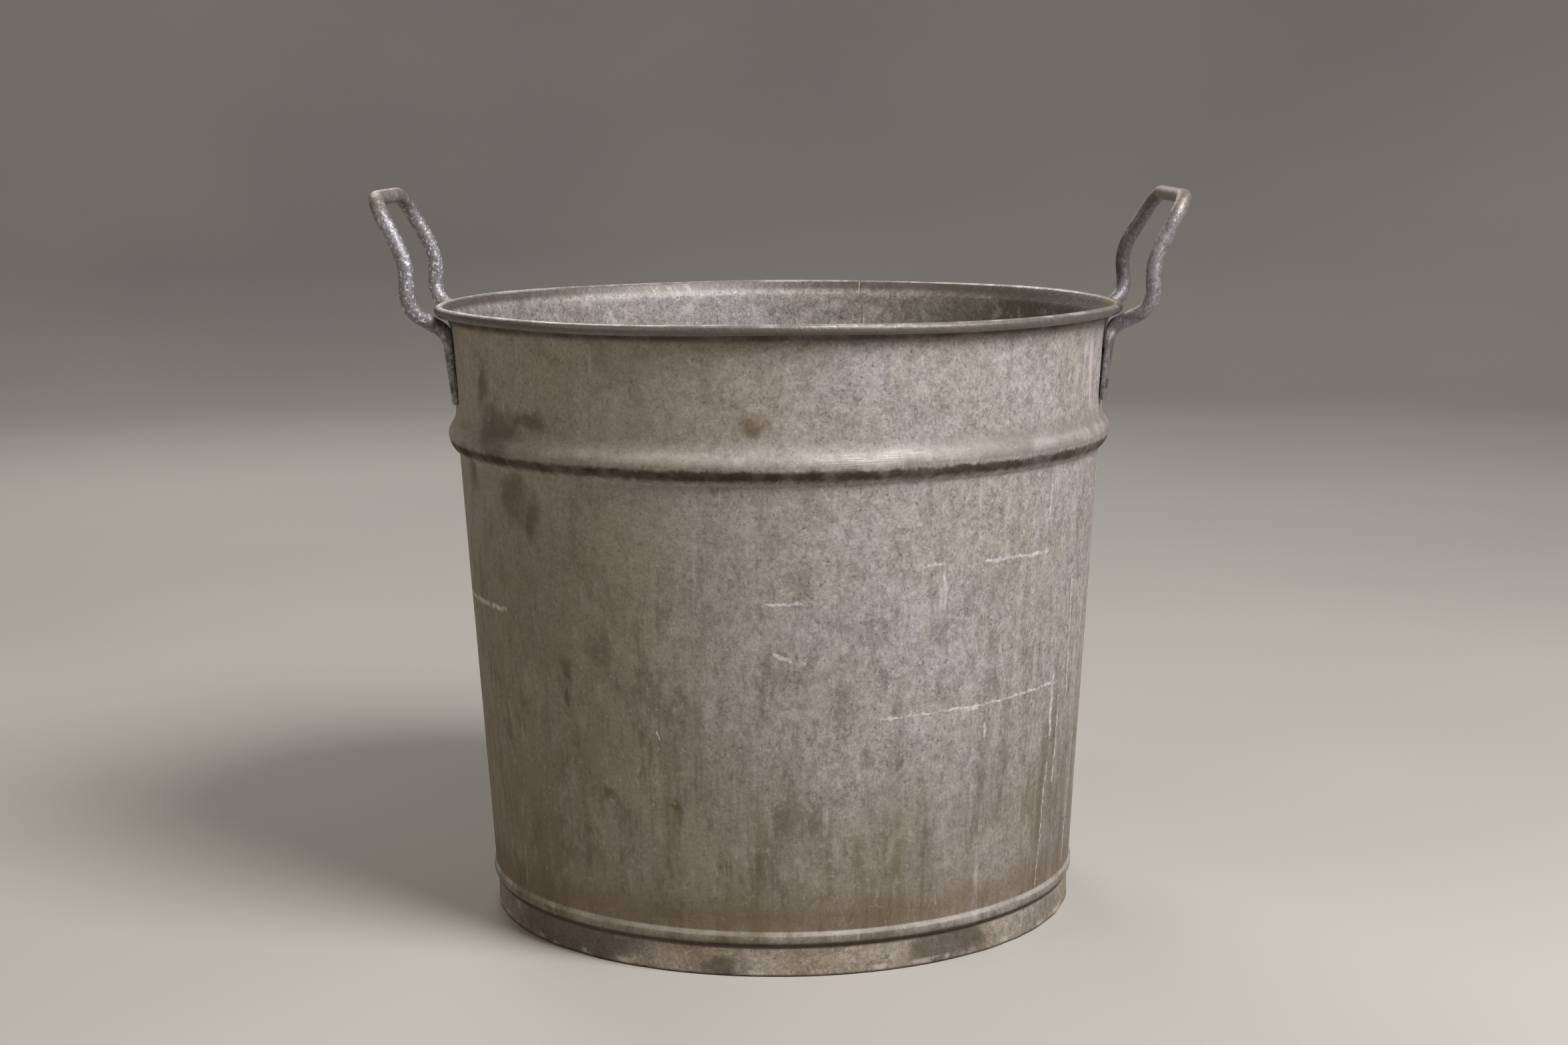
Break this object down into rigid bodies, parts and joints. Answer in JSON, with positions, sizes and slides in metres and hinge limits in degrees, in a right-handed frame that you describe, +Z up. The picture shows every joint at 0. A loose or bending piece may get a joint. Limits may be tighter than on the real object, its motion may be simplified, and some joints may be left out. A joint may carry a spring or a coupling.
{
  "type": "feed basket",
  "caption": "Round, slightly tapered galvanised sheet-steel feed basket with a wired rim, pressed beads, an inset foot ring and fixed upright bar handles at opposite sides.",
  "frame": {"origin": "on the floor, under the middle of the tub", "axes": "+Z up along the tub's axis, +X towards the right handle, -Y towards the front"},
  "size_m": [0.5224, 0.45, 0.4707],
  "materials": {
    "galvanised_sheet": "weathered matt zinc",
    "galvanised_bar": "weathered matt zinc, worn at the grip",
    "rivet_steel": "weathered matt zinc",
    "steel_wire": "plain, hidden in the rim roll"
  },
  "bodies": {
    "root": {"body_wall": "galvanised_sheet", "rim_wire": "steel_wire", "bottom_disc": "galvanised_sheet", "foot_ring": "galvanised_sheet", "left_handle": "galvanised_bar", "right_handle": "galvanised_bar", "left_handle_rivets": "rivet_steel", "right_handle_rivets": "rivet_steel"}
  },
  "joints": []
}
